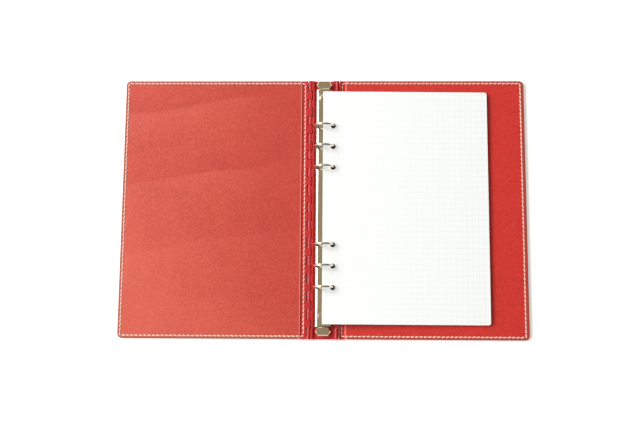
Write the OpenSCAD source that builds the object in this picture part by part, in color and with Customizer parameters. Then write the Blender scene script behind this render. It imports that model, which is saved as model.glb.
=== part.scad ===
// Six-ring album with hinged leather covers, lying open and flat.
// +X runs from the left cover to the right cover, +Y up along the spine, +Z off the table.
// The origin is the middle of the outline, on the table. All sizes are in millimetres.

/* [Covers] */
// Width across both covers when the album lies open
open_width = 364; // [355:1:380]
// Height of the covers, along the spine
cover_height = 235; // [232:1:240]
// Radius of the covers' outer corners
corner_radius = 4; // [2:0.5:8]
// Thickness of the outer leather
leather_thickness = 1.0; // [0.9:0.1:1.1]
// Thickness of the stiffening board
board_thickness = 1.4; // [1.3:0.1:1.5]
// Thickness of the inside lining
lining_thickness = 1.0; // [0.9:0.1:1.1]
// Width of the leather rim that closes the edge around the board
edge_rim = 1.6; // [1.2:0.1:3]
// Distance from the middle of the spine to the lining's inner edge
lining_start = 19.7; // [19:0.1:22]

/* [Hinges] */
// Distance of each hinge axis from the middle of the spine
hinge_offset = 12.3; // [12.2:0.1:13]
// Height of the hinge axes above the table
hinge_height = 2.5; // [2.4:0.1:2.6]
// Outer radius of the cover side's hinge knuckles
knuckle_radius = 2.0; // [1.8:0.1:2]
// Outer radius of the spine side's hinge knuckles
spine_knuckle_radius = 1.75; // [1.6:0.05:2]
// Number of knuckles along one hinge, counting those of both leaves
knuckle_count = 29; // [21:2:33]
// Length of the knuckle at each end of a hinge
end_knuckle = 9.5; // [8:0.05:11]
// Gap between one knuckle and the next
knuckle_gap = 0.5; // [0.3:0.1:0.8]
// Radius of the hinge pins
pin_radius = 0.8; // [0.6:0.05:0.9]
// Radial clearance of a pin in its knuckles
pin_clearance = 0.05; // [0.02:0.01:0.08]

/* [Ring mechanism] */
// Distance of the mechanism's centre line from the middle of the spine
mechanism_offset = 0.5; // [0:0.1:0.6]
// Distance of the mechanism's middle from the middle of the spine, along the spine
mechanism_shift = 0.9; // [0:0.1:0.9]
// Width of the arch that covers the mechanism
arch_width = 15; // [15:0.2:15.4]
// Height of the arch's crown above the table
arch_top = 7.4; // [7.2:0.1:7.4]
// Length of the arch, between the two levers
arch_length = 214.6; // [214:0.1:215]
// Outer diameter of a closed ring
ring_diameter = 18.5; // [18:0.1:18.6]
// Diameter of the ring wire
ring_wire = 2.4; // [2:0.1:2.5]
// Height of the rings' centre above the table
ring_height = 10.5; // [10.3:0.1:10.6]
// Spacing of the rings within each group of three
ring_pitch = 19; // [19:0.5:19]
// Distance between the two innermost rings
ring_middle_gap = 70; // [70:1:70]
// Distance between the two rivets
rivet_spacing = 198; // [196:1:199]

/* [Leaves] */
// Width of a leaf
leaf_width = 148; // [145:1:150]
// Height of a leaf
leaf_height = 210; // [205:1:210]
// Thickness of the whole stack of leaves
stack_thickness = 3.0; // [2:0.1:4.4]
// Height of the stack's underside next to the rings
stack_left_height = 8.0; // [8:0.05:8.1]
// Distance of the leaves' bound edge from the middle of the spine, towards the left cover
leaf_overhang = 0.25; // [0:0.05:0.4]
// Distance of the leaves' middle from the middle of the spine, along the spine
leaf_shift = 0.5; // [0.4:0.1:1.2]
// Radius of the punched holes
hole_radius = 2.5; // [2.5:0.05:2.8]
// Distance of the punched holes from the bound edge
hole_inset = 9.1; // [9.1:0.05:9.3]

/* [Hidden] */
half_width = open_width / 2;
half_height = cover_height / 2;
smooth = 48;
over = 1;

// Heights of the layers of a cover
board_bottom = leather_thickness;
board_top = board_bottom + board_thickness;
cover_top = board_top + lining_thickness;

// Hinges: a web joins each knuckle to its own side, and a recess faces the other side's knuckles
turning_gap = 0.3;
spine_edge = hinge_offset - knuckle_radius - turning_gap;
leaf_edge = hinge_offset + knuckle_radius + turning_gap;
knuckle_length = (cover_height - 2 * end_knuckle) / (knuckle_count - 2);
spine_web_top = hinge_height + 1.1;
cover_web_bottom = hinge_height - 1.7;
cover_web_top = hinge_height + 1.5;
cover_web_end = leaf_edge + 1.0;
hinge_leaf_end = lining_start + 5.3;
leather_start = leaf_edge + 0.3;
inner_corner_radius = 1.0;
pin_end_inset = 0.3;

// Spine channel
spine_floor = 1.6;
rib_width = 1.4;
rib_top = hinge_height + 1.1;

// Arch: a slightly domed crown, rounded shoulders and straight sides with a turned-in lip
sheet = 0.8;
crown_radius = 26;
crown_centre = arch_top - crown_radius;
shoulder_radius = 2.6;
shoulder_x = arch_width / 2 - shoulder_radius;
shoulder_z = crown_centre + sqrt(pow(crown_radius - shoulder_radius, 2) - pow(shoulder_x, 2));
crown_edge = shoulder_x / (crown_radius - shoulder_radius);
lip_width = 1.3;
lip_length = arch_length - 7;
slot_width = ring_wire + 0.8;
slot_inner = 4.8;

// Blades: each turns on a round bead along its outer edge
bead_radius = 0.5;
fit_gap = 0.05;
bead_height = spine_floor + sheet + bead_radius + fit_gap;
bead_offset = arch_width / 2 - sheet - bead_radius - fit_gap;
blade_thickness = 0.8;
blade_top = bead_height + blade_thickness / 2;
blade_length = arch_length - 8;
blade_gap = 0.3;
blade_notch_radius = 2.3;

// Rings
wire_radius = ring_wire / 2;
ring_radius = ring_diameter / 2 - wire_radius;
ring_places = [for (end = [-1, 1], i = [0:2]) end * (ring_middle_gap / 2 + i * ring_pitch)];
tip_gap_angle = 0.35;
foot_angle = -72;

// Rivets
seat_radius = 5.3;
seat_bottom = 5.8;
seat_top = 6.9;
head_radius = 4.6;
head_rise = 0.7;
head_sphere = (pow(head_radius, 2) + pow(head_rise, 2)) / (2 * head_rise);
shank_radius = 1.5;
shank_hole = 1.6;
tail_radius = 2.8;
tail_hole = 3.0;
tail_bottom = 0.1;
tail_top = 0.7;

// Levers: a thumb pad outside the arch, a hub between its sides, a tongue under the blades
lever_axis_y = arch_length / 2 - 2;
lever_axis_z = 3.3;
hub_radius = 1.0;
hub_half = arch_width / 2 - sheet - 1.3;
trunnion_radius = 0.6;
trunnion_half = arch_width / 2 - 0.1;
arm_half = 4;
arm_thickness = 1.3;
tongue_half = 1.5;
tongue_reach = 2.5;
tongue_bottom = 1.75;
tongue_top = 2.45;
pad_width = 14;
pad_depth = 8;
pad_flat = 9.2;
pad_centre_y = arch_length / 2 + pad_depth / 2 + 0.3;
pad_bottom = 6.6;
pad_side = 0.5;
pad_bevel = 0.9;

// Leaves: the stack slopes down from the rings to the right cover
stack_gap = 0.35;
stack_right_height = cover_top + stack_gap;
leaf_corner_radius = 2;
stack_tilt = asin((stack_left_height - stack_right_height) / leaf_width);

// Start of knuckle i along Y, before the gap is taken off
function knuckle_start(i) = i == 0 ? -half_height : -half_height + end_knuckle + (i - 1) * knuckle_length;

function knuckle_end(i) = i == knuckle_count - 1 ? half_height : knuckle_start(i + 1);

// Draws its children for the right-hand side, or mirrored for the left-hand side
module on_side(side) {
    if (side > 0) children();
    else mirror([1, 0, 0]) children();
}

// The same, mirrored in the mechanism's centre line
module on_mechanism_side(side) {
    translate([mechanism_offset, mechanism_shift, 0]) on_side(side) children();
}

// A cylinder along Y
module rod(radius, from_y, to_y) {
    translate([0, to_y, 0])
        rotate([90, 0, 0]) cylinder(r = radius, h = to_y - from_y, $fn = smooth);
}

// A plate with its two right-hand corners rounded
module rounded_outline(from_x, to_x, half_y, radius) {
    translate([from_x, -half_y]) square([to_x - radius - from_x, 2 * half_y]);
    translate([from_x, radius - half_y]) square([to_x - from_x, 2 * (half_y - radius)]);
    for (end = [-1, 1])
        translate([to_x - radius, end * (half_y - radius)]) circle(r = radius, $fn = smooth);
}

// Knuckles first, first + 2, ... of the right-hand hinge, each with a web from web_x to the axis
module knuckles(first, radius, web_x, web_bottom, web_top) {
    for (i = [first:2:knuckle_count - 1]) {
        from_y = knuckle_start(i) + (i == 0 ? 0 : knuckle_gap / 2);
        to_y = knuckle_end(i) - (i == knuckle_count - 1 ? 0 : knuckle_gap / 2);
        translate([hinge_offset, 0, hinge_height]) rod(radius, from_y, to_y);
        translate([min(web_x, hinge_offset), from_y, web_bottom])
            cube([abs(web_x - hinge_offset), to_y - from_y, web_top - web_bottom]);
    }
}

module hinge_bore() {
    translate([hinge_offset, 0, hinge_height])
        rod(pin_radius + pin_clearance, -half_height - over, half_height + over);
}

module spine_channel() {
    color([0.80, 0.20, 0.20])
    difference() {
        union() {
            translate([-spine_edge, -half_height, 0]) cube([2 * spine_edge, cover_height, spine_floor]);
            for (side = [-1, 1])
                on_side(side) {
                    translate([spine_edge - rib_width, -half_height, 0])
                        cube([rib_width, cover_height, rib_top]);
                    knuckles(0, spine_knuckle_radius, spine_edge - rib_width / 2,
                             hinge_height - spine_knuckle_radius, spine_web_top);
                }
        }
        for (side = [-1, 1])
            on_side(side) hinge_bore();
        for (end = [-1, 1])
            translate([mechanism_offset, mechanism_shift + end * rivet_spacing / 2, 0]) {
                translate([0, 0, -over]) cylinder(r = shank_hole, h = spine_floor + 2 * over, $fn = smooth);
                translate([0, 0, -over]) cylinder(r = tail_hole, h = tail_top + over, $fn = smooth);
            }
    }
}

module hinge_pin(side) {
    color([0.75, 0.75, 0.76])
    on_side(side)
        translate([hinge_offset, 0, hinge_height])
            rod(pin_radius, pin_end_inset - half_height, half_height - pin_end_inset);
}

module hinge_leaf(side) {
    color([0.80, 0.20, 0.20])
    on_side(side)
        difference() {
            union() {
                translate([leaf_edge, -half_height, board_bottom])
                    cube([hinge_leaf_end - leaf_edge, cover_height, board_thickness]);
                // raised strip that the knuckles spring from
                translate([leaf_edge, -half_height, board_bottom])
                    cube([cover_web_end - leaf_edge, cover_height, cover_web_top - board_bottom]);
                knuckles(1, knuckle_radius, cover_web_end, cover_web_bottom + 0.2, cover_web_top);
            }
            hinge_bore();
            // the knuckles are planed off flush with their webs
            translate([0, -half_height - over, cover_web_top])
                cube([hinge_leaf_end, cover_height + 2 * over, knuckle_radius]);
            // the outer leather tucks in under the webs
            translate([leather_start, -half_height - over, -over])
                cube([hinge_leaf_end, cover_height + 2 * over, board_bottom + over]);
        }
}

module board(side) {
    color([0.62, 0.50, 0.38])
    on_side(side)
        translate([0, 0, board_bottom])
            linear_extrude(board_thickness)
                rounded_outline(hinge_leaf_end, half_width - edge_rim, half_height - edge_rim,
                                corner_radius - edge_rim / 2);
}

module outer_leather(side) {
    color([0.76, 0.24, 0.19])
    on_side(side) {
        linear_extrude(board_bottom)
            difference() {
                rounded_outline(leather_start, half_width, half_height, corner_radius);
                // square corners next to the hinge are eased
                for (end = [-1, 1])
                    translate([leather_start, end * half_height])
                        rotate(45) square(inner_corner_radius, center = true);
            }
        translate([0, 0, board_bottom])
            linear_extrude(board_thickness)
                difference() {
                    rounded_outline(hinge_leaf_end, half_width, half_height, corner_radius);
                    rounded_outline(hinge_leaf_end - over, half_width - edge_rim, half_height - edge_rim,
                                    corner_radius - edge_rim / 2);
                }
    }
}

module lining(side) {
    color(side < 0 ? [0.83, 0.33, 0.28] : [0.80, 0.24, 0.20])
    on_side(side)
        translate([0, 0, board_top])
            linear_extrude(lining_thickness)
                rounded_outline(lining_start, half_width, half_height, corner_radius);
}

// The arch's outline as a solid, shrunk by inset
module arch_solid(inset, length) {
    half = arch_width / 2 - inset;
    crown_half = crown_edge * (crown_radius - inset);
    intersection() {
        translate([0, 0, crown_centre]) rod(crown_radius - inset, -length / 2, length / 2);
        translate([-crown_half, -length / 2, spine_floor]) cube([2 * crown_half, length, arch_top]);
    }
    for (side = [-1, 1])
        translate([side * shoulder_x, 0, shoulder_z]) rod(shoulder_radius - inset, -length / 2, length / 2);
    translate([-half, -length / 2, spine_floor]) cube([2 * half, length, shoulder_z - spine_floor]);
}

module ring_arch() {
    color([0.86, 0.84, 0.78])
    translate([mechanism_offset, mechanism_shift, 0])
    difference() {
        union() {
            difference() {
                arch_solid(0, arch_length);
                arch_solid(sheet, arch_length + 2 * over);
                translate([sheet - arch_width / 2, -arch_length / 2 - over, spine_floor - over])
                    cube([arch_width - 2 * sheet, arch_length + 2 * over, over + sheet]);
            }
            for (side = [-1, 1])
                on_side(side)
                    translate([arch_width / 2 - sheet - lip_width, -lip_length / 2, spine_floor])
                        cube([lip_width + sheet / 2, lip_length, sheet]);
            for (end = [-1, 1])
                translate([0, end * rivet_spacing / 2, seat_bottom])
                    cylinder(r = seat_radius, h = seat_top - seat_bottom, $fn = smooth);
        }
        for (end = [-1, 1])
            translate([0, end * rivet_spacing / 2, 0]) {
                translate([0, 0, seat_top]) cylinder(r = seat_radius, h = arch_top, $fn = smooth);
                cylinder(r = shank_hole, h = arch_top, $fn = smooth);
            }
        // slots where the rings come through the shoulders
        for (side = [-1, 1], y = ring_places)
            on_side(side)
                translate([slot_inner, y - slot_width / 2, blade_top + 0.3])
                    cube([arch_width, slot_width, arch_top]);
        // pivot holes for the levers
        for (end = [-1, 1])
            translate([-arch_width, end * lever_axis_y, lever_axis_z])
                rotate([0, 90, 0])
                    cylinder(r = trunnion_radius + fit_gap, h = 2 * arch_width, $fn = smooth);
    }
}

module rivets() {
    color([0.86, 0.84, 0.78])
    for (end = [-1, 1])
        translate([mechanism_offset, mechanism_shift + end * rivet_spacing / 2, 0]) {
            intersection() {
                translate([0, 0, seat_top + head_rise - head_sphere]) sphere(r = head_sphere, $fn = smooth);
                translate([0, 0, seat_top]) cylinder(r = head_radius + over, h = head_rise + over, $fn = smooth);
            }
            translate([0, 0, tail_bottom])
                cylinder(r = shank_radius, h = seat_top - tail_bottom, $fn = smooth);
            translate([0, 0, tail_bottom])
                cylinder(r = tail_radius, h = tail_top - tail_bottom, $fn = smooth);
        }
}

module blade(side) {
    color([0.70, 0.70, 0.70])
    on_mechanism_side(side)
        difference() {
            union() {
                translate([bead_offset, 0, bead_height]) rod(bead_radius, -blade_length / 2, blade_length / 2);
                translate([blade_gap / 2, -blade_length / 2, blade_top - blade_thickness])
                    cube([bead_offset - blade_gap / 2, blade_length, blade_thickness]);
            }
            for (end = [-1, 1])
                translate([0, end * rivet_spacing / 2, 0])
                    cylinder(r = blade_notch_radius, h = arch_top, $fn = smooth);
        }
}

// Half of each ring, from the tip at the top round to its foot on the blade
module ring_halves(side) {
    color([0.86, 0.84, 0.78])
    on_mechanism_side(side)
        for (y = ring_places)
            difference() {
                translate([0, y, ring_height])
                    rotate([90, 0, 0])
                        rotate([0, 0, foot_angle])
                            rotate_extrude(angle = 90 - tip_gap_angle - foot_angle, $fn = smooth)
                                translate([ring_radius, 0]) circle(r = wire_radius, $fn = smooth);
                translate([-arch_width, y - ring_wire, blade_top - arch_top])
                    cube([2 * arch_width, 2 * ring_wire, arch_top]);
            }
}

module pad_outline(inset) {
    polygon([
        [-pad_width / 2 + inset, 0], [-pad_flat / 2, inset - pad_depth / 2],
        [pad_flat / 2, inset - pad_depth / 2], [pad_width / 2 - inset, 0],
        [pad_flat / 2, pad_depth / 2 - inset], [-pad_flat / 2, pad_depth / 2 - inset]
    ]);
}

// The lever at the top end, where +Y points away from the rings
module lever(end) {
    color([0.80, 0.76, 0.66])
    translate([mechanism_offset, mechanism_shift, 0])
    mirror([0, end > 0 ? 0 : 1, 0]) {
        translate([0, lever_axis_y, lever_axis_z])
            rotate([0, 90, 0]) {
                cylinder(r = hub_radius, h = 2 * hub_half, center = true, $fn = smooth);
                cylinder(r = trunnion_radius, h = 2 * trunnion_half, center = true, $fn = smooth);
            }
        translate([-tongue_half, lever_axis_y - tongue_reach, tongue_bottom])
            cube([2 * tongue_half, tongue_reach, tongue_top - tongue_bottom]);
        // arm that climbs out of the arch to the pad
        translate([-arm_half, 0, 0])
            rotate([90, 0, 90])
                linear_extrude(2 * arm_half)
                    polygon([
                        [lever_axis_y, lever_axis_z - hub_radius / 2],
                        [lever_axis_y + hub_radius, lever_axis_z - hub_radius / 2],
                        [pad_centre_y, pad_bottom - arm_thickness],
                        [pad_centre_y, pad_bottom + pad_side],
                        [pad_centre_y - 2, pad_bottom + pad_side / 2],
                        [lever_axis_y, lever_axis_z + hub_radius / 2]
                    ]);
        translate([0, pad_centre_y, pad_bottom]) {
            linear_extrude(pad_side) pad_outline(0);
            hull() {
                translate([0, 0, pad_side - 0.05]) linear_extrude(0.05) pad_outline(0);
                translate([0, 0, pad_side + pad_bevel - 0.05]) linear_extrude(0.05) pad_outline(pad_bevel);
            }
        }
    }
}

// The whole stack of punched leaves
module leaves() {
    color([0.97, 0.97, 0.95])
    translate([-leaf_overhang, leaf_shift, stack_left_height])
        rotate([0, stack_tilt, 0])
            linear_extrude(stack_thickness)
                difference() {
                    rounded_outline(0, leaf_width, leaf_height / 2, leaf_corner_radius);
                    for (y = ring_places)
                        translate([hole_inset, y]) circle(r = hole_radius, $fn = smooth);
                }
}

spine_channel();
hinge_pin(-1);  // left_hinge_pin
hinge_pin(1);  // right_hinge_pin
ring_arch();
rivets();
hinge_leaf(-1);  // left_hinge_leaf
board(-1);  // left_board
outer_leather(-1);  // left_outer_leather
lining(-1);  // left_lining
hinge_leaf(1);  // right_hinge_leaf
board(1);  // right_board
outer_leather(1);  // right_outer_leather
lining(1);  // right_lining
blade(-1);  // left_blade
ring_halves(-1);  // left_ring_halves
blade(1);  // right_blade
ring_halves(1);  // right_ring_halves
lever(1);  // top_lever
lever(-1);  // bottom_lever
leaves();
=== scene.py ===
import math
import random

import bmesh
import bpy
from mathutils import Matrix, Vector


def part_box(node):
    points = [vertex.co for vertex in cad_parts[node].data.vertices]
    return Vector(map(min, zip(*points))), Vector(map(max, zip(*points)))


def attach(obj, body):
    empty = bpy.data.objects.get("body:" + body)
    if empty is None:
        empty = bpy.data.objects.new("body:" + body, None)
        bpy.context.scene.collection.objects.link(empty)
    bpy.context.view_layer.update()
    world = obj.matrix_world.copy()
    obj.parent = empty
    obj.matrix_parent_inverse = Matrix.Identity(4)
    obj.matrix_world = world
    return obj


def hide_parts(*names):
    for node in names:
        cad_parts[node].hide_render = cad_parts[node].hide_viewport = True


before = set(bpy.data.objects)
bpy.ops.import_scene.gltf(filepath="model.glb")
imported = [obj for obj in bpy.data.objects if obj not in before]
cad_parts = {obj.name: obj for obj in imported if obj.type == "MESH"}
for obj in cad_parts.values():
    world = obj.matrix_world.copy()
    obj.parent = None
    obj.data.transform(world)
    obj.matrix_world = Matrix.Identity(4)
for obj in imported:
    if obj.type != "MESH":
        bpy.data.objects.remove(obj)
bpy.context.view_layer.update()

MM = 0.001
random.seed(11)

# ---------------------------------------------------------------- sizes, from the frame
LINING_LOW, LINING_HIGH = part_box("right_lining")
LEATHER_LOW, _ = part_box("right_outer_leather")
BOARD_LOW, BOARD_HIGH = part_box("right_board")
STACK_LOW, STACK_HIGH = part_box("leaves")
HALF_Y = LINING_HIGH.y
OUTER_X = LINING_HIGH.x
LINING_TOP = LINING_HIGH.z
LINING_X = LINING_LOW.x

# ---------------------------------------------------------------- covers
CORNER_R = 4 * MM
LINING_INNER_R = 0.6 * MM                       # corners beside the hinge
LEATHER_INNER_R = 1.0 * MM
OUTLINE_STEP = 0.5 * MM                         # between the points round a layer's edge
HINGE_STRIP = 2.2 * MM                          # beside the hinge, where an edge gets no edge paint but a pale painted highlight
HIGHLIGHT_REACH = 0.9 * MM                             # how far in from that edge the pale painted highlight reaches
LEATHER_RIM = 1.5                               # width of the raised rim round the board, in millimetres

STITCH_INSET = {-1: 2.6 * MM, 1: 3.2 * MM}      # from each cover's outer edge
STITCH_INSET_Y = 2.5 * MM
STITCH_HINGE_X = 16.8 * MM                      # the column beside the hinge
STITCH_PITCH = 3.85 * MM
STITCH_CORNER = 1.5 * MM
STITCH_STEP = 0.4 * MM                          # between the points of the line that stitches follow
STITCH_HALF = 1.82 * MM                         # half of a stitch's length
STITCH_R = 0.68 * MM
STITCH_FLATNESS = 0.75                          # a stitch's height over its width
STITCH_SLANT, STITCH_SLANT_VARIES = 9, 3        # degrees off the line, and how far that varies
STITCH_RINGS, STITCH_SIDES = 8, 8               # in a stitch's mesh
GROOVE = 0.26 * MM
GROOVE_WIDTH = 0.8 * MM

CREASE_SLOPE = 0.14                             # of the creases in the left lining, over X
CREASE_PITCH = 63.5 * MM
CREASE_START = 15.9 * MM                        # from a crease to the origin
CREASE_SHADE, CREASE_SHINE = 0.23, 0.13         # strength of the painted shade above each crease's line, and of the painted highlight below it
HINGE_SHADE = 0.32                              # of the painted shade, a deeper tone beside the hinge
CORNER_SHINE = 0.17                             # of the painted sheen, paler towards the lower left corner

# ---------------------------------------------------------------- leaves
RING_FIRST, RING_SPACING = 35 * MM, 19 * MM     # from the middle of the rings
RING_PLACES = [end * (RING_FIRST + RING_SPACING * i) for end in (-1, 1) for i in range(3)]
LEAF_W, LEAF_H = 148 * MM, 210 * MM
LEAF_CORNER_R = 2 * MM
LEAF_CORNER_STEPS = 6
HOLE_INSET = 9.05 * MM
HOLE_R = 2.35 * MM
HOLE_SIDES = 28
SHEETS = 24
SHEET_SHARE = 0.92                              # how much of each sheet's place its paper fills
SHEET_SLIP = 0.14 * MM                          # how far a loose leaf may lie off the others
SHEET_TURN = 0.0004                             # and how far it may turn, in radians
STACK_LEFT = Vector((-0.25 * MM, (STACK_LOW.y + STACK_HIGH.y) / 2, 8.0 * MM))   # bound edge, underside
STACK_DEPTH = 3.0 * MM
GRID_PITCH = 5.0                                # in millimetres, like the leaf's UV
GRID_SHIFT = (1.5, 102.5)

# ---------------------------------------------------------------- table
TABLE_HALF = 15.0
TABLE_LEVEL = -0.2 * MM
TABLE_GLOW = 0.38
SPINE_HALF = 18 * MM                            # the table doesn't glow beneath the spine: painted shade, seen through the hinge gaps
GLOW_FADE = 4 * MM                              # on each side of where that starts

SHARP_ANGLE = math.radians(32)                  # between faces of a CAD node that stay sharp


# ---------------------------------------------------------------- shader helpers
class Nodes:
    """Adds nodes to a tree and links them."""

    def __init__(self, tree):
        self.tree = tree

    def add(self, kind, inputs=None, **settings):
        node = self.tree.nodes.new("ShaderNode" + kind)
        for key, value in settings.items():
            setattr(node, key, value)
        for key, value in (inputs or {}).items():
            self.put(node.inputs[key], value)
        return node

    def put(self, socket, value):
        if isinstance(value, bpy.types.NodeSocket):
            self.tree.links.new(value, socket)
        else:
            socket.default_value = value

    def math(self, operation, a, b=0.0):
        return self.add("Math", {0: a, 1: b}, operation=operation).outputs[0]

    def plus(self, a, b):
        return self.math("ADD", a, b)

    def minus(self, a, b):
        return self.math("SUBTRACT", a, b)

    def times(self, a, b):
        return self.math("MULTIPLY", a, b)

    def spread(self, value, low, high, to_low=0.0, to_high=1.0):
        inputs = {"Value": value, "From Min": low, "From Max": high, "To Min": to_low, "To Max": to_high}
        return self.add("MapRange", inputs).outputs[0]

    def mix(self, factor, a, b):
        return self.add("Mix", {0: factor, 6: a, 7: b}, data_type="RGBA").outputs[2]


class Shader(Nodes):
    """A node material that starts as one Principled shader."""

    def __init__(self, name):
        self.material = bpy.data.materials.new(name)
        self.material.use_nodes = True
        super().__init__(self.material.node_tree)
        self.surface = next(n for n in self.tree.nodes if n.type == "BSDF_PRINCIPLED")
        self.place = self.add("TexCoord").outputs["Object"]

    def set(self, **values):
        for key, value in values.items():
            self.put(self.surface.inputs[key.replace("_", " ")], value)

    def stretched(self, scale, turn=0.0):
        """The place, scaled along each axis and turned about Z."""
        inputs = {"Vector": self.place, "Rotation": (0.0, 0.0, turn), "Scale": scale}
        return self.add("Mapping", inputs).outputs[0]

    def noise(self, scale, detail=3.0, roughness=0.55, place=None):
        inputs = {"Vector": place or self.place, "Scale": scale, "Detail": detail, "Roughness": roughness}
        return self.add("TexNoise", inputs).outputs["Fac"]

    def wander(self, scale, width):
        """Smooth noise on both sides of zero."""
        return self.times(self.minus(self.noise(scale, 2), 0.5), width)

    def voronoi(self, scale):
        return self.add("TexVoronoi", {"Vector": self.place, "Scale": scale}).outputs["Distance"]

    def bump(self, height, distance, strength, normal=None):
        inputs = {"Height": height, "Distance": distance, "Strength": strength}
        if normal is not None:
            inputs["Normal"] = normal
        return self.add("Bump", inputs).outputs[0]


def linear(red, green, blue):
    """An sRGB colour of 0 to 255 as a linear colour."""

    def one(value):
        value /= 255
        return value / 12.92 if value <= 0.04045 else ((value + 0.055) / 1.055) ** 2.4
    return (one(red), one(green), one(blue), 1.0)


# ---------------------------------------------------------------- materials
def painted_crease_light(s, tone, deep, pale):
    """Painted shade above and painted highlight below slanted soft creases where leather has lifted from its
    board, a painted shade beside the hinge, and a painted sheen towards the lower left corner.
    """
    split = s.add("SeparateXYZ", {"Vector": s.place})
    x, y = split.outputs[0], split.outputs[1]
    level = s.plus(s.minus(y, s.times(x, CREASE_SLOPE)), s.wander(13, 16 * MM))
    phase = s.math("FRACT", s.math("DIVIDE", s.plus(level, CREASE_START), CREASE_PITCH))
    patches = s.spread(s.noise(10, 1), 0.35, 0.6, 0.3, 1.0)
    off_hinge = s.spread(x, -30 * MM, -80 * MM, 0.2, 1.0)
    off_lower_edge = s.spread(y, -85 * MM, -55 * MM)
    strength = s.times(s.times(patches, off_hinge), off_lower_edge)
    # painted shade just above each crease's line, and painted highlight below it
    above = s.times(s.spread(phase, 0.02, 0.35, 1.0, 0.0), s.spread(phase, 0.0, 0.02))
    below = s.times(s.spread(phase, 0.45, 0.96), s.spread(phase, 0.96, 1.0, 1.0, 0.0))
    tone = s.mix(s.times(s.times(above, strength), CREASE_SHADE), tone, deep)
    tone = s.mix(s.times(s.times(below, strength), CREASE_SHINE), tone, pale)
    cloud = s.wander(22, 50 * MM)
    # painted shade: a deeper tone beside the hinge, fading away from it and weaker towards the lower edge
    near_hinge = s.spread(s.plus(x, cloud), -110 * MM, -45 * MM)
    beside_hinge = s.times(near_hinge, s.spread(y, -100 * MM, -10 * MM, 0.6, 1.0))
    tone = s.mix(s.times(beside_hinge, HINGE_SHADE), tone, deep)
    # painted sheen: paler towards the lower left corner
    to_corner = s.plus(s.plus(x, y), cloud)
    return s.mix(s.spread(to_corner, -120 * MM, -240 * MM, 0.0, CORNER_SHINE), tone, pale)


def leather(name, colour, dark, pale, edge_colour, roughness, painted_creases=False):
    """Fine-grained dyed leather, with painted shade along long folds. The rim attribute is 1 on the painted
    edge, 0 inside, -1 where a pale painted highlight runs along the edge beside the hinge.
    """
    s = Shader(name)
    pores = s.voronoi(1150)
    creases = s.noise(420, 4)
    cloudy = s.noise(26, 5, 0.7)
    mottled = s.noise(720, 4, 0.8)
    fold_shade = s.noise(1.0, 2, 0.5, s.stretched((5.0, 42.0, 5.0), 0.12))
    streaks = s.noise(1.0, 3, 0.6, s.stretched((60.0, 420.0, 60.0), 0.62))
    tone = s.mix(s.spread(cloudy, 0.25, 0.75), dark, colour)
    # painted shade: darker along long, shallow folds
    tone = s.mix(s.spread(fold_shade, 0.45, 0.72, 0.0, 0.6), tone, dark)
    tone = s.mix(s.spread(mottled, 0.42, 0.62, 0.0, 0.48), tone, pale)
    tone = s.mix(s.spread(streaks, 0.5, 0.75, 0.0, 0.12), tone, linear(150, 34, 30))
    tone = s.mix(s.spread(pores, 0.0, 0.35, 0.30, 0.0), tone, linear(120, 22, 20))
    # painted crease shade and highlight, painted shade beside the hinge and painted sheen in the lower left
    if painted_creases:
        tone = painted_crease_light(s, tone, linear(176, 32, 26), linear(238, 128, 106))
    rim = s.add("Attribute", attribute_name="rim").outputs["Fac"]
    painted = s.math("MAXIMUM", rim, 0.0)
    # pale painted highlight where the rim attribute is -1
    highlight_mix = s.times(s.math("MAXIMUM", s.times(rim, -1.0), 0.0), 0.75)
    s.set(Base_Color=s.mix(highlight_mix, s.mix(painted, tone, edge_colour), EDGE_HIGHLIGHT))
    s.set(Roughness=s.spread(creases, 0.3, 0.7, roughness - 0.06, roughness + 0.08))
    s.set(Specular_IOR_Level=0.42)
    relief = s.plus(s.times(pores, 0.7), s.times(creases, 0.6))
    s.set(Normal=s.bump(relief, 0.22 * MM, 0.55))
    return s.material


def thread():
    """Pale waxed thread, with its ply drawn as slanted bands."""
    s = Shader("waxed_thread")
    ply = s.add("TexWave", {"Vector": s.place, "Scale": 900.0, "Distortion": 1.5},
                bands_direction="DIAGONAL").outputs["Fac"]
    fuzz = s.noise(1500, 2)
    s.set(Base_Color=s.mix(ply, linear(250, 200, 182), linear(255, 228, 214)))
    s.set(Roughness=s.spread(fuzz, 0.3, 0.7, 0.5, 0.75))
    s.set(Sheen_Weight=0.3, Specular_IOR_Level=0.35)
    s.set(Normal=s.bump(ply, 0.2 * MM, 0.8))
    return s.material


def plastic(name, colour, dark):
    """Moulded plastic with a faint texture, softened edges and an uneven gloss."""
    s = Shader(name)
    orange_peel = s.noise(650, 2)
    drift = s.noise(35, 3)
    scuffs = s.noise(160, 5, 0.75)
    s.set(Base_Color=s.mix(s.spread(drift, 0.3, 0.7), dark, colour))
    s.set(Roughness=s.spread(scuffs, 0.35, 0.7, 0.34, 0.50))
    s.set(Specular_IOR_Level=0.5)
    round_edges = s.add("Bevel", {"Radius": 0.25 * MM}, samples=4).outputs[0]
    s.set(Normal=s.bump(orange_peel, 0.06 * MM, 0.35, round_edges))
    return s.material


def nickel(name, colour, roughness, scratch):
    """Bright nickel plate, with hairline scratches along the spine and faint clouding."""
    s = Shader(name)
    lines = s.noise(1.0, 3, 0.6, s.stretched((2600.0, 60.0, 2600.0)))
    cloud = s.noise(70, 3)
    clouded = tuple(0.88 * c for c in colour[:3]) + (1.0,)
    s.set(Base_Color=s.mix(s.spread(cloud, 0.3, 0.7), colour, clouded))
    s.set(Metallic=1.0)
    s.set(Roughness=s.spread(lines, 0.3, 0.75, roughness, roughness + 0.1))
    s.set(Normal=s.bump(lines, 0.02 * MM, scratch))
    return s.material


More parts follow.
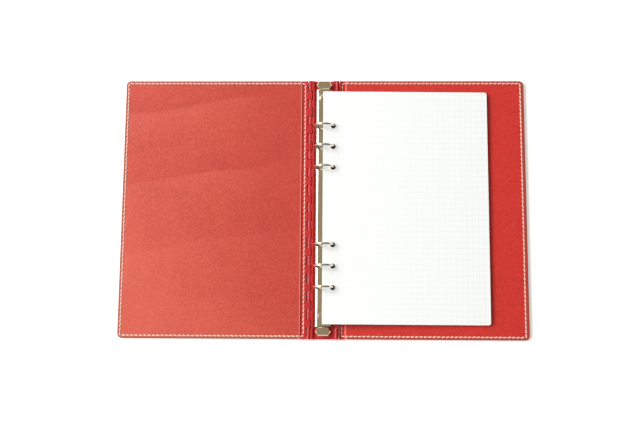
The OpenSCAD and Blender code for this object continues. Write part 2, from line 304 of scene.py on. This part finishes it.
def steel():
    """Zinc-plated steel, brushed along the spine."""
    s = Shader("zinc_plated_steel")
    brushed = s.noise(1.0, 3, 0.6, s.stretched((3000.0, 90.0, 3000.0)))
    s.set(Base_Color=s.mix(brushed, (0.42, 0.42, 0.44, 1), (0.62, 0.61, 0.60, 1)))
    s.set(Metallic=1.0)
    s.set(Roughness=s.spread(brushed, 0.3, 0.7, 0.28, 0.45))
    return s.material


def greyboard():
    """The covers' stiffening board."""
    s = Shader("greyboard")
    fibre = s.noise(900, 5, 0.7)
    s.set(Base_Color=s.mix(fibre, linear(150, 128, 102), linear(186, 164, 136)))
    s.set(Roughness=0.9)
    s.set(Normal=s.bump(fibre, 0.2 * MM, 0.5))
    return s.material


def paper(name, ruled):
    """Smooth white paper. A ruled leaf has a faint grid, drawn from the leaf's own UV, in millimetres,
    fainter towards the bound edge as painted light.
    """
    s = Shader(name)
    tooth = s.noise(1800, 3)
    cloud = s.noise(60, 3)
    tone = s.mix(cloud, linear(243, 248, 250), linear(247, 251, 253))
    if ruled:
        uv = s.add("SeparateXYZ", {"Vector": s.add("UVMap", uv_map="leaf").outputs[0]})
        lines = []
        for axis in (0, 1):
            from_line = s.math("PINGPONG", uv.outputs[axis], GRID_PITCH / 2)
            lines.append(s.spread(from_line, 0.06, 0.2, 1.0, 0.0))
        grid = s.math("MAXIMUM", lines[0], lines[1])
        # painted light: the grid washes out towards the bound edge, where the leaf is lit brighter
        across = s.plus(uv.outputs[0], s.times(s.noise(20), 60.0))
        grid_washout = s.spread(across, 30.0, 180.0, 0.22, 0.55)
        tone = s.mix(s.times(grid, grid_washout), tone, linear(208, 219, 214))
    s.set(Base_Color=tone)
    s.set(Roughness=0.72, Specular_IOR_Level=0.3)
    s.set(Normal=s.bump(tooth, 0.04 * MM, 0.25))
    return s.material


def table_top():
    """A white table that glows as painted light, so the shadows on it stay pale. It doesn't glow where the
    spine stands: painted shade, seen through the hinge gaps.
    """
    s = Shader("pale_table")
    s.set(Base_Color=s.mix(s.noise(6, 3), (0.90, 0.90, 0.90, 1), (0.92, 0.92, 0.92, 1)))
    s.set(Roughness=0.8, Specular_IOR_Level=0.2)
    split = s.add("SeparateXYZ", {"Vector": s.place})
    beside_x = s.minus(s.math("ABSOLUTE", split.outputs[0]), SPINE_HALF)
    beside_y = s.minus(s.math("ABSOLUTE", split.outputs[1]), HALF_Y)
    clear = s.math("MAXIMUM", beside_x, beside_y)
    s.set(Emission_Color=(1.0, 1.0, 1.0, 1.0))
    # painted light that lifts the shadows, with painted shade under the spine
    s.set(Emission_Strength=s.spread(clear, -GLOW_FADE, GLOW_FADE, 0.0, TABLE_GLOW))
    return s.material


# the pale painted highlight along the leather's edge beside the hinge
EDGE_HIGHLIGHT = linear(240, 142, 122)
# The left lining's colours are paler than the right's: painted sheen, standing in for the window's reflection
# on the left cover.
LINING = {
    -1: leather("left_lining_leather_painted_light", linear(198, 66, 49), linear(182, 52, 40), linear(220, 106, 86),
                linear(160, 84, 66), 0.50, painted_creases=True),
    1: leather("right_lining_leather", linear(208, 42, 36), linear(194, 36, 33), linear(222, 72, 60),
               linear(160, 68, 54), 0.52),
}
OUTER = leather("outer_leather", linear(182, 36, 31), linear(160, 28, 26), linear(204, 60, 50),
                linear(156, 66, 54), 0.46)
THREAD = thread()
HINGE_PLASTIC = plastic("hinge_plastic", linear(196, 36, 40), linear(184, 30, 34))
NICKEL = nickel("nickel_plate", (0.86, 0.81, 0.71, 1.0), 0.06, 0.05)
LEVER_NICKEL = nickel("lever_nickel", (0.84, 0.77, 0.64, 1.0), 0.09, 0.15)
STEEL = steel()
BOARD = greyboard()
BLANK = paper("leaf_paper", False)
RULED = paper("ruled_leaf_paper", True)


# ---------------------------------------------------------------- mesh helpers
def build(name, verts, faces, material, body, smooth=True):
    """One piece of the visual model, riding on a body."""
    mesh = bpy.data.meshes.new(name)
    mesh.from_pydata([tuple(v) for v in verts], [], faces)
    mesh.validate()
    mesh.update()
    mesh.materials.append(material)
    mesh.polygons.foreach_set("use_smooth", [smooth] * len(mesh.polygons))
    piece = bpy.data.objects.new(name, mesh)
    bpy.context.scene.collection.objects.link(piece)
    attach(piece, body)
    return piece


def side_name(side):
    return "left" if side < 0 else "right"


def outline(from_x, to_x, half_y, inner_r, outer_r, step):
    """Points and outward normals round a rectangle with rounded corners, anticlockwise."""
    corners = [(from_x, -half_y, inner_r, 180), (to_x, -half_y, outer_r, 270),
               (to_x, half_y, outer_r, 0), (from_x, half_y, inner_r, 90)]

    def centre(x, y, r):
        return x + r if x == from_x else x - r, y + r if y < 0 else y - r

    points = []
    for i, (x, y, r, angle) in enumerate(corners):
        cx, cy = centre(x, y, r)
        turns = max(3, round(r * math.pi / 2 / step))
        for k in range(turns + 1):
            a = math.radians(angle + 90 * k / turns)
            normal = Vector((math.cos(a), math.sin(a)))
            points.append((Vector((cx + r * math.cos(a), cy + r * math.sin(a))), normal))
        next_x, next_y, next_r, next_angle = corners[(i + 1) % 4]
        cx, cy = centre(next_x, next_y, next_r)
        a = math.radians(next_angle)
        start, normal = points[-1]
        end = Vector((cx + next_r * math.cos(a), cy + next_r * math.sin(a)))
        count = max(1, round((end - start).length / step))
        points += [(start.lerp(end, k / count), normal.copy()) for k in range(1, count)]
    return points


def stitch_loop(side):
    """The line that the stitches follow, laid out on the right-hand side."""
    line = outline(STITCH_HINGE_X, OUTER_X - STITCH_INSET[side], HALF_Y - STITCH_INSET_Y,
                   STITCH_CORNER, STITCH_CORNER, STITCH_STEP)
    return [p for p, _ in line]


def along(line, distance):
    """The point at that distance along a closed line, and the direction there."""
    count = len(line)
    for i in range(count):
        a, b = line[i], line[(i + 1) % count]
        length = (b - a).length
        if distance <= length or i == count - 1:
            return a.lerp(b, min(1.0, distance / length)), (b - a).normalized()
        distance -= length


def loop_length(line):
    return sum((line[(i + 1) % len(line)] - p).length for i, p in enumerate(line))


def groove(side, x, y):
    """How far the leather sinks at a point of the right-hand side, pulled in by the stitches."""
    far_x, far_y = OUTER_X - STITCH_INSET[side], HALF_Y - STITCH_INSET_Y
    over_x, over_y = abs(x - far_x), abs(abs(y) - far_y)
    if abs(y) > far_y and x > far_x:
        gap, run = math.hypot(x - far_x, abs(y) - far_y), 0.0
    elif x > far_x or (abs(y) < far_y and over_x < over_y):
        gap, run = over_x, y
    else:
        gap, run = over_y, x
    pull = 0.72 - 0.28 * math.cos(2 * math.pi * run / STITCH_PITCH)
    return GROOVE * pull * math.exp(-(gap / GROOVE_WIDTH) ** 2)


def skin(name, side, loops, from_x, inner_r, sink, material, height_limit=None):
    """A closed leather layer. Each loop is (inset from the outline, height, rim shade)."""
    base = outline(from_x, OUTER_X, HALF_Y, inner_r, CORNER_R, OUTLINE_STEP)
    verts, shades = [], []
    for inset, height, shade in loops:
        for p, n in base:
            x = min(max(p.x - n.x * inset, from_x + inset), OUTER_X - inset)
            y = min(max(p.y - n.y * inset, inset - HALF_Y), HALF_Y - inset)
            z = height
            if height_limit:
                z = min(z, height_limit(x))
            z += sink(side, x, y, height)
            verts.append((side * x, y, z))
            # beside the hinge: no edge paint, and a pale painted highlight along the edge
            if x < from_x + HINGE_STRIP:
                shades.append(-1.0 if inset < HIGHLIGHT_REACH else 0.0)
            else:
                shades.append(shade)
    count = len(base)
    faces = []
    for k in range(len(loops) - 1):
        for i in range(count):
            j = (i + 1) % count
            quad = [k * count + i, k * count + j, (k + 1) * count + j, (k + 1) * count + i]
            faces.append(quad if side > 0 else quad[::-1])
    first, last = list(range(count)), list(range((len(loops) - 1) * count, len(loops) * count))
    faces.append(first[::-1] if side > 0 else first)
    faces.append(last if side > 0 else last[::-1])
    piece = build(name, verts, faces, material, side_name(side) + "_cover")
    rim = piece.data.attributes.new("rim", "FLOAT", "POINT")
    rim.data.foreach_set("value", shades)
    piece.data.polygons[-1].use_smooth = False
    piece.data.polygons[-2].use_smooth = False
    return piece


def lining_skin(side):
    """The inside leather, from its underside up round a painted edge and in across the sewn groove."""
    top, low = LINING_TOP, LINING_LOW.z
    loops = [(0.10, low, 1.0), (0.0, low + 0.25 * MM, 1.0), (0.0, top - 0.50 * MM, 1.0),
             (0.07, top - 0.26 * MM, 1.0), (0.24, top - 0.09 * MM, 1.0), (0.50, top, 1.0),
             (0.85, top, 0.95), (1.2, top, 0.75), (1.6, top, 0.4), (2.0, top, 0.15), (2.3, top, 0.05),
             (2.6, top, 0.0), (2.9, top, 0.0), (3.2, top, 0.0), (3.6, top, 0.0), (4.1, top, 0.0),
             (5.0, top, 0.0), (7.0, top, 0.0)]
    loops = [(inset * MM, height, shade) for inset, height, shade in loops]

    def sink(which, x, y, height):
        return -groove(which, x, y) if height >= top else 0.0

    piece = skin(side_name(side) + "_lining_skin", side, loops, LINING_X, LINING_INNER_R, sink,
                 LINING[side])
    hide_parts(side_name(side) + "_lining")


def outer_skin(side):
    """The outside leather, from its sewn face up round the edge to the rim that holds the board."""
    low, rim, floor = LEATHER_LOW.z, BOARD_HIGH.z, BOARD_LOW.z
    wall = LEATHER_RIM
    loops = [(7.0, low, 0.0), (5.0, low, 0.0), (4.1, low, 0.0), (3.6, low, 0.0), (3.2, low, 0.0),
             (2.9, low, 0.0), (2.6, low, 0.05), (2.3, low, 0.1), (2.0, low, 0.18), (1.6, low, 0.3),
             (1.2, low, 0.45), (0.7, low, 0.7), (0.35, low + 0.06 * MM, 0.85), (0.1, low + 0.25 * MM, 0.95),
             (0.0, low + 0.55 * MM, 1.0), (0.0, rim - 0.25 * MM, 1.0), (0.1, rim, 1.0),
             (wall, rim, 0.5), (wall + 0.05, floor, 0.0), (wall + 1.0, floor, 0.0)]
    loops = [(inset * MM, height, shade) for inset, height, shade in loops]

    def sink(which, x, y, height):
        return groove(which, x, y) if height <= low + 0.01 * MM else 0.0

    def limit(x):
        return rim if x > BOARD_LOW.x - 0.2 * MM else floor

    piece = skin(side_name(side) + "_outer_skin", side, loops, LEATHER_LOW.x, LEATHER_INNER_R, sink,
                 OUTER, limit)
    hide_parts(side_name(side) + "_outer_leather")


def stitch_level(middle, inside):
    """The height that a stitch is set at, just below the face that it is sewn into."""
    if not inside:
        return LEATHER_LOW.z + 0.42 * MM
    on_lining = middle.x > LINING_X + LINING_INNER_R
    return (LINING_TOP if on_lining else BOARD_HIGH.z) - 0.06 * MM


def stitches(side, inside):
    """One row of thread round a cover: slanted, rounded bars whose ends go down into the leather."""
    line = stitch_loop(side)
    total = loop_length(line)
    count = round(total / STITCH_PITCH)
    up = 1 if inside else -1
    rise = 0.22 * MM if inside else 0.05 * MM       # of a stitch's middle
    dip = 0.34 * MM                                 # of its ends, below the middle
    verts, faces = [], []
    for k in range(count):
        middle, ahead = along(line, (k + 0.5) * total / count)
        slant = math.radians(STITCH_SLANT + random.uniform(-STITCH_SLANT_VARIES, STITCH_SLANT_VARIES))
        ahead = Vector((ahead.x * math.cos(slant) - ahead.y * math.sin(slant),
                        ahead.x * math.sin(slant) + ahead.y * math.cos(slant)))
        across = Vector((-ahead.y, ahead.x))
        level = stitch_level(middle, inside)
        first = len(verts)
        for r in range(STITCH_RINGS):
            t = -1 + 2 * r / (STITCH_RINGS - 1)
            swell = max(0.30, math.sqrt(max(0.0, 1 - 0.8 * t * t)))
            centre = middle + ahead * (STITCH_HALF * t)
            z = level + up * (rise - dip * abs(t) ** 3)
            for q in range(STITCH_SIDES):
                a = 2 * math.pi * q / STITCH_SIDES
                p = centre + across * (STITCH_R * swell * math.cos(a))
                verts.append((side * p.x, p.y, z + STITCH_R * STITCH_FLATNESS * swell * math.sin(a)))
        rings = [[first + r * STITCH_SIDES + q for q in range(STITCH_SIDES)] for r in range(STITCH_RINGS)]
        for near, far in zip(rings, rings[1:]):
            for q in range(STITCH_SIDES):
                after = (q + 1) % STITCH_SIDES
                quad = [near[q], near[after], far[after], far[q]]
                faces.append(quad if side < 0 else quad[::-1])
        start, end = rings[0], rings[-1]
        faces.append(start[::-1] if side < 0 else start)
        faces.append(end if side < 0 else end[::-1])
    name = side_name(side) + ("_inside_stitches" if inside else "_outside_stitches")
    build(name, verts, faces, THREAD, side_name(side) + "_cover")


# ---------------------------------------------------------------- leaves
def leaf_shape():
    """A leaf's edge and its punched holes, as closed rings of points in the leaf's own plane."""
    r = LEAF_CORNER_R
    turns = [math.pi / 2 * k / LEAF_CORNER_STEPS for k in range(1, LEAF_CORNER_STEPS)]
    edge = [Vector((0, -LEAF_H / 2)), Vector((LEAF_W - r, -LEAF_H / 2))]
    edge += [Vector((LEAF_W - r + r * math.sin(a), -LEAF_H / 2 + r - r * math.cos(a))) for a in turns]
    edge += [Vector((LEAF_W, -LEAF_H / 2 + r)), Vector((LEAF_W, LEAF_H / 2 - r))]
    edge += [Vector((LEAF_W - r + r * math.cos(a), LEAF_H / 2 - r + r * math.sin(a))) for a in turns]
    edge += [Vector((LEAF_W - r, LEAF_H / 2)), Vector((0, LEAF_H / 2))]
    holes = [[Vector((HOLE_INSET + HOLE_R * math.cos(a), y + HOLE_R * math.sin(a)))
              for a in (2 * math.pi * k / HOLE_SIDES for k in range(HOLE_SIDES))] for y in RING_PLACES]
    return edge, holes


def flat_leaf():
    """The points of one flat leaf with its holes, its triangles, and its border's edges in their order."""
    bm = bmesh.new()
    edge, holes = leaf_shape()
    for ring in [edge, *holes]:
        points = [bm.verts.new((p.x, p.y, 0)) for p in ring]
        for i, v in enumerate(points):
            bm.edges.new((v, points[(i + 1) % len(points)]))
    bmesh.ops.triangle_fill(bm, use_beauty=True, edges=bm.edges[:])
    bm.verts.ensure_lookup_table()
    bm.faces.ensure_lookup_table()
    bm.normal_update()
    points = [(v.co.x, v.co.y) for v in bm.verts]
    triangles = []
    for face in bm.faces:
        corners = [v.index for v in face.verts]
        triangles.append(corners if face.normal.z > 0 else corners[::-1])
    directed = {(a, b) for t in triangles for a, b in zip(t, t[1:] + t[:1])}
    border = []
    for e in bm.edges:
        if len(e.link_faces) == 1:
            a, b = e.verts[0].index, e.verts[1].index
            border.append((a, b) if (a, b) in directed else (b, a))
    bm.free()
    return points, triangles, border


def leaf_stack():
    """The loose leaves, each with its own small shift, as one piece, and the front leaf as another."""
    points, triangles, border = flat_leaf()
    tilt = math.asin((STACK_LEFT.z - STACK_LOW.z) / LEAF_W)
    pitch = STACK_DEPTH / SHEETS
    thick = SHEET_SHARE * pitch
    count = len(points)

    def add_leaf(verts, faces, level, shift_x, shift_y, turn):
        base = len(verts)
        for w in (level, level + thick):
            for x, y in points:
                u = x + shift_x - turn * y
                v = y + shift_y + turn * x
                verts.append((STACK_LEFT.x + u * math.cos(tilt) + w * math.sin(tilt), STACK_LEFT.y + v,
                              STACK_LEFT.z - u * math.sin(tilt) + w * math.cos(tilt)))
        faces.extend([[base + i for i in t[::-1]] for t in triangles])
        faces.extend([[base + count + i for i in t] for t in triangles])
        faces.extend([[base + a, base + b, base + count + b, base + count + a] for a, b in border])

    verts, faces = [], []
    for k in range(SHEETS - 1):
        add_leaf(verts, faces, k * pitch, random.uniform(-SHEET_SLIP, SHEET_SLIP),
                 random.uniform(-SHEET_SLIP, SHEET_SLIP), random.uniform(-SHEET_TURN, SHEET_TURN))
    block = build("leaf_block", verts, faces, BLANK, "leaf_stack", smooth=False)
    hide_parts("leaves")

    verts, faces = [], []
    add_leaf(verts, faces, (SHEETS - 1) * pitch, 0.0, 0.0, 0.0)
    front = build("front_leaf", verts, faces, RULED, "leaf_stack", smooth=False)
    layer = front.data.uv_layers.new(name="leaf")
    for loop in front.data.loops:
        x, y = points[loop.vertex_index % count]
        layer.data[loop.index].uv = (x / MM + GRID_SHIFT[0], y / MM + GRID_SHIFT[1])


# ---------------------------------------------------------------- CAD nodes that stay
def finish_cad_nodes():
    """Gives the plastic, metal and board nodes their materials, and smooths their round faces."""
    looks = {
        "spine_channel": HINGE_PLASTIC, "left_hinge_leaf": HINGE_PLASTIC, "right_hinge_leaf": HINGE_PLASTIC,
        "left_hinge_pin": STEEL, "right_hinge_pin": STEEL, "left_blade": STEEL, "right_blade": STEEL,
        "ring_arch": NICKEL, "rivets": NICKEL, "left_ring_halves": NICKEL, "right_ring_halves": NICKEL,
        "top_lever": LEVER_NICKEL, "bottom_lever": LEVER_NICKEL, "left_board": BOARD, "right_board": BOARD,
    }
    for name, material in looks.items():
        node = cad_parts[name]
        node.data.materials.clear()
        node.data.materials.append(material)
        node.data.polygons.foreach_set("material_index", [0] * len(node.data.polygons))
        node.data.shade_smooth()
        node.data.set_sharp_from_angle(angle=SHARP_ANGLE)


# ---------------------------------------------------------------- stage, lights, camera
def stage():
    """The table, just below the album."""
    corners = [(x * TABLE_HALF, y * TABLE_HALF, TABLE_LEVEL) for x, y in ((-1, -1), (1, -1), (1, 1), (-1, 1))]
    mesh = bpy.data.meshes.new("table")
    mesh.from_pydata(corners, [], [(0, 1, 2, 3)])
    mesh.materials.append(table_top())
    table = bpy.data.objects.new("table", mesh)
    bpy.context.scene.collection.objects.link(table)


def area_light(name, place, aim, width, height, power, colour):
    data = bpy.data.lights.new(name, "AREA")
    data.shape = "RECTANGLE"
    data.size, data.size_y = width, height
    data.energy = power
    data.color = colour
    light = bpy.data.objects.new(name, data)
    light.location = place
    light.rotation_euler = (Vector(aim) - Vector(place)).to_track_quat("-Z", "Y").to_euler()
    bpy.context.scene.collection.objects.link(light)


def lights():
    """A large window high on the left, and a weak fill from the lower left."""
    area_light("window", (-1.74, 0.47, 1.68), (0, 0, 0), 1.6, 1.25, 63, (1.0, 0.995, 0.99))
    area_light("fill", (-1.3, -1.6, 1.1), (0, 0, 0), 1.3, 1.3, 11, (1.0, 0.98, 0.96))


def room():
    """What the metal mirrors: white walls on the left, grey ones elsewhere, a warm ceiling."""
    world = bpy.data.worlds.new("room")
    world.use_nodes = True
    bpy.context.scene.world = world
    n = Nodes(world.node_tree)
    ray = n.add("TexCoord").outputs["Generated"]
    up = n.add("SeparateXYZ", {"Vector": ray}).outputs[2]
    to_left = n.add("VectorMath", {0: ray, 1: (-0.8, 0.6, 0.0)}, operation="DOT_PRODUCT").outputs["Value"]
    white, grey = (0.95, 0.94, 0.92, 1), (0.16, 0.16, 0.16, 1)
    ceiling, horizon = (0.38, 0.31, 0.20, 1), (0.86, 0.86, 0.85, 1)
    walls = n.mix(n.spread(to_left, -0.05, 0.5), grey, white)
    above = n.mix(n.spread(up, 0.70, 0.90), walls, ceiling)
    background = n.tree.nodes["Background"]
    n.put(background.inputs["Color"], n.mix(n.spread(up, 0.20, 0.08), above, horizon))
    n.put(background.inputs["Strength"], 0.92)


def camera():
    """Above the album and a little below its middle, looking down."""
    data = bpy.data.cameras.new("camera")
    data.lens = 53.817
    data.sensor_width = 36
    data.clip_start, data.clip_end = 0.01, 20
    view = bpy.data.objects.new("camera", data)
    place = Vector((0.01956, -0.13649, 0.85243))
    look = (Matrix.Rotation(math.radians(-0.181), 3, "Z") @ Matrix.Rotation(math.radians(-1.490), 3, "Y")
            @ Matrix.Rotation(math.radians(-8.771), 3, "X"))
    view.matrix_world = Matrix.Translation(place) @ look.transposed().to_4x4()
    bpy.context.scene.collection.objects.link(view)
    bpy.context.scene.camera = view


for cover in (-1, 1):
    lining_skin(cover)
    outer_skin(cover)
    stitches(cover, True)
    stitches(cover, False)
leaf_stack()
finish_cad_nodes()
stage()
lights()
room()
camera()
bpy.context.scene.view_settings.view_transform = "Standard"
